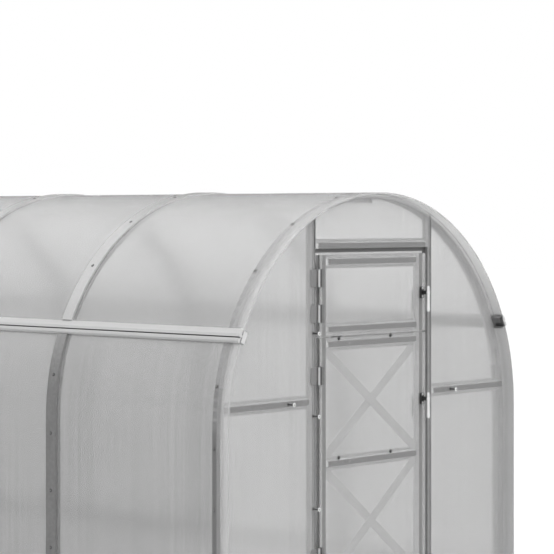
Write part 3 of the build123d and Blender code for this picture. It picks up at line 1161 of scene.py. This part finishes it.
@dataclass
class FixedHinges:
    """Fixed hinge halves, with their wide wings over the sheet's edge on the hinge post."""

    heights: Places = (1.474, 1.319, 1.048, 0.261)
    height: float = 0.077
    outer_x: float = -0.432
    inner_x: float = -0.3915
    thickness: float = 0.0015
    corner: float = 0.003
    corner_turn: float = 0.0009
    screw_x: float = -0.422
    screw_spread: float = 0.027

    def wing(self, pad: MeshPad, middle: float) -> None:
        """Adds one plate with rounded outer corners.

        Args:
            pad: Pad that takes the plate.
            middle: Height of the hinge's middle.
        """
        half = self.height / 2
        cut = self.corner
        turn = self.corner_turn
        rounded = [(cut, half), (turn, half - turn), (0.0, half - cut)]
        corner = [(self.outer_x + inset, height) for inset, height in rounded]
        mirrored = [(x, -height) for x, height in reversed(corner)]
        outline = [(self.inner_x, -half), (self.inner_x, half), *corner, *mirrored]
        front = HOUSE.gable_sheet_face
        faces = (front, front - self.thickness)
        rings = [[Vector((x, y, middle + height)) for x, height in outline] for y in faces]
        pad.shell(rings, HINGE_WING)

    def build(self) -> None:
        """Dresses the halves and builds the wings with their screws."""
        dress(HINGE, "fixed_hinge_halves")
        pad = MeshPad("fixed_hinge_wings")
        face = HOUSE.gable_sheet_face - self.thickness
        for middle in self.heights:
            self.wing(pad, middle)
            for step in (-1, 1):
                height = middle + step * self.screw_spread
                Fastener.COUNTERSUNK.stand(pad, end_seat(self.screw_x, face, height))
        pad.piece(Body.HOUSE)


@dataclass
class DoorLeaf:
    """One leaf of the stable door, with its bolts, hinge screws and lock trim."""

    name: str
    body: Body
    handle_height: float
    hinge_heights: Places
    rail_heights: Places = ()
    braced: bool = False
    bolt_x: Places = (-0.245, 0.115)
    rivet_x: float = -0.172
    hinge_plate: float = 0.003
    hinge_screw_x: Places = (-0.358, -0.353, -0.358)
    hinge_screw_spread: float = 0.026
    lock_plate: float = 0.008
    lock_screw_spread: float = 0.019

    def dress_nodes(self) -> None:
        """Gives the leaf's nodes their finishes."""
        dress(STILE_STEEL, f"{self.name}_door_stiles")
        dress(END_STEEL, f"{self.name}_door_rails")
        if self.braced:
            dress(STEEL, f"{self.name}_door_braces")
        dress(GABLE_SHEET, f"{self.name}_door_sheet")
        dress(HINGE, f"{self.name}_door_hinge_halves")
        dress(LOCK, f"{self.name}_lock_plates")
        dress(LEVER, f"{self.name}_handle")

    def bolts(self) -> None:
        """Builds the dome bolts and rivets along the leaf's rails, where it has any."""
        if not self.rail_heights:
            return
        pad = MeshPad(f"{self.name}_door_bolts")
        face = HOUSE.gable_sheet_face
        for height in self.rail_heights:
            for x in self.bolt_x:
                Fastener.DOME_BOLT.stand(pad, end_seat(x, face, height + HOUSE.rail_foot))
            Fastener.RIVET.stand(pad, end_seat(self.rivet_x, face, height))
        pad.piece(self.body)

    def hinge_screws(self) -> None:
        """Builds the countersunk screws of the leaf's hinge plates."""
        pad = MeshPad(f"{self.name}_hinge_screws")
        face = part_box(f"{self.name}_door_hinge_halves")[1].y - self.hinge_plate
        for height in self.hinge_heights:
            for x, step in zip(self.hinge_screw_x, (-1, 0, 1)):
                seat = end_seat(x, face, height + step * self.hinge_screw_spread)
                Fastener.COUNTERSUNK.stand(pad, seat)
        pad.piece(self.body)

    def lock_screws(self) -> None:
        """Builds the two bright ring-headed screws of the lock plate."""
        pad = MeshPad(f"{self.name}_lock_screws")
        face = HOUSE.gable_sheet_face - self.lock_plate
        for step in (-1, 1):
            height = self.handle_height + step * self.lock_screw_spread
            Fastener.RING_SCREW.stand(pad, end_seat(HOUSE.stile_x, face, height))
        pad.piece(self.body)

    def build(self) -> None:
        """Dresses the leaf and adds its small pieces."""
        self.dress_nodes()
        self.bolts()
        self.hinge_screws()
        self.lock_screws()


@dataclass(frozen=True)
class Lamp:
    """Soft far-off lamp, with its angles in degrees.

    It stands at a tilt from overhead, turned round from the door end towards the right side, and
    its softness is the spread of its light.
    """

    name: str
    strength: float
    tilt: float
    turn: float
    softness: float

    def build(self) -> None:
        """Makes the lamp, which shows in no mirror image."""
        data = bpy.data.lights.new(self.name, "SUN")
        data.energy = self.strength
        data.angle = math.radians(self.softness)
        made = new_object(self.name, data)
        made.visible_glossy = False
        made.rotation_euler = (math.radians(self.tilt), 0, math.radians(self.turn))


@dataclass
class Studio:
    """Pale floor, soft lights and the camera."""

    lens: float = 139.06
    sensor: float = 36.0
    shift_up: float = -0.1083
    clip_end: float = 200.0
    camera_place: Triple = (-7.399, -8.150, 1.74)
    camera_turn: float = -47.83
    floor_radius: float = 60.0
    floor_sides: int = 48
    floor_tone: Colour = shade(0.8)
    floor_plain: float = 0.6
    floor_through_sheets: float = 0.3
    floor_mirrored: float = 0.3
    ambient: float = 0.42
    wall_level: float = 0.16
    ceiling_heights: Pair = (0.12, 0.45)
    ceiling_right: Pair = (0.25, 0.65)
    panel_level: float = 0.6
    panel_way: Triple = (math.sqrt(0.5), -math.sqrt(0.5), 0.0)
    panel_edges: Pair = (0.2, 0.9)
    lamps: tuple[Lamp, ...] = (Lamp("sky", 2.2, 8.0, 0.0, 90.0), Lamp("key", 1.6, 55.0, 35.0, 50.0))

    def camera(self) -> None:
        """Makes the level camera at the photograph's angle."""
        data = bpy.data.cameras.new("view")
        data.lens = self.lens
        data.sensor_width = self.sensor
        data.shift_y = self.shift_up
        data.clip_end = self.clip_end
        made = new_object("view", data)
        made.location = self.camera_place
        made.rotation_euler = (math.radians(90), 0, math.radians(self.camera_turn))
        bpy.context.scene.camera = made

    def floor(self) -> None:
        """Makes the pale floor, white to the camera but with the object's shadow."""
        mesh = bpy.data.meshes.new("floor")
        angles = [2 * math.pi * number / self.floor_sides for number in range(self.floor_sides)]
        reach = self.floor_radius
        corners = [(reach * math.cos(angle), reach * math.sin(angle), 0.0) for angle in angles]
        mesh.from_pydata(corners, [], [tuple(range(self.floor_sides))])
        mesh.materials.append(self.floor_material())
        made = new_object("floor", mesh)

    def floor_material(self) -> bpy.types.Material:
        """Wires white for the camera and clear sheets, and pale grey for the light it throws back.

        Returns:
            The floor's material.
        """
        made = bpy.data.materials.new("floor")
        made.use_nodes = True
        nodes = made.node_tree.nodes
        nodes.remove(nodes["Principled BSDF"])
        bench = ShaderBench(made.node_tree)
        rays = bench.add("LightPath").outputs
        clear = bench.math("MULTIPLY", rays["Is Transmission Ray"], self.floor_through_sheets)
        plain = bench.math("MULTIPLY", rays["Is Camera Ray"], self.floor_plain)
        white = bench.add("Emission", Strength=1.0)
        pale = bench.add("BsdfDiffuse", Color=self.floor_tone)
        seen = bench.blend(bench.math("MAXIMUM", clear, plain), pale, white)
        dim = bench.add("Emission", Strength=self.floor_mirrored)
        chosen = bench.blend(rays["Is Glossy Ray"], seen, dim)
        bench.feed(nodes["Material Output"], Surface=chosen.outputs[0])
        return made

    def world(self) -> None:
        """Makes the world: white behind the object, a studio for mirrors, and even light for the rest."""
        made = bpy.data.worlds.new("studio")
        made.use_nodes = True
        bpy.context.scene.world = made
        nodes = made.node_tree.nodes
        bench = ShaderBench(made.node_tree)
        light = nodes["Background"]
        bench.feed(light, Color=WHITE, Strength=self.ambient)
        mirrored = bench.add("Background", Color=WHITE, Strength=self.mirrored_level(bench))
        white = bench.add("Background", Color=WHITE, Strength=1.0)
        rays = bench.add("LightPath").outputs
        studio = bench.blend(rays["Is Glossy Ray"], light, mirrored)
        direct = bench.math("MAXIMUM", rays["Is Camera Ray"], rays["Is Transmission Ray"])
        chosen = bench.blend(direct, studio, white)
        bench.feed(nodes["World Output"], Surface=chosen.outputs[0])

    def mirrored_level(self, bench: ShaderBench) -> Socket:
        """Level of light that mirrors see: dim walls, a bright ceiling on the left and a panel in front.

        Args:
            bench: Bench of the world.

        Returns:
            The level in the direction looked at.
        """
        way = bench.add("TexCoord").outputs["Generated"]
        axes = bench.add("SeparateXYZ", way).outputs
        high = bench.spread(axes["Z"], 0.0, 1.0 - self.wall_level, *self.ceiling_heights)
        left = bench.spread(axes["X"], 1.0, 0.0, *self.ceiling_right)
        ceiling = bench.math("ADD", bench.math("MULTIPLY", high, left), self.wall_level)
        facing = bench.add("VectorMath", way, self.panel_way, operation="DOT_PRODUCT").outputs["Value"]
        panel = bench.spread(facing, 0.0, self.panel_level, *self.panel_edges)
        return bench.math("MINIMUM", bench.math("ADD", ceiling, panel), 1.0)

    def build(self) -> None:
        """Sets up the whole studio."""
        bpy.context.scene.view_settings.view_transform = "Standard"
        self.camera()
        self.floor()
        self.world()
        for lamp in self.lamps:
            lamp.build()


def main() -> None:
    """Builds and dresses the house, one sub-assembly after the other."""
    logging.basicConfig(level=logging.INFO, format="%(name)s: %(message)s")
    lower = DoorLeaf(
        name="lower",
        body=Body.LOWER_LEAF,
        handle_height=0.906,
        hinge_heights=(1.048, 0.261),
        rail_heights=(1.182, 0.658, 0.105),
        braced=True,
    )
    upper = DoorLeaf(
        name="upper", body=Body.UPPER_LEAF, handle_height=1.394, hinge_heights=(1.474, 1.319)
    )
    house = (ArchFrames(), Cladding(), JointStrips(), GableEnds(), FixedHinges())
    for part in (Studio(), *house, lower, upper):
        part.build()
        log.info("%s: built", type(part).__name__)


if __name__ == "__main__":
    main()
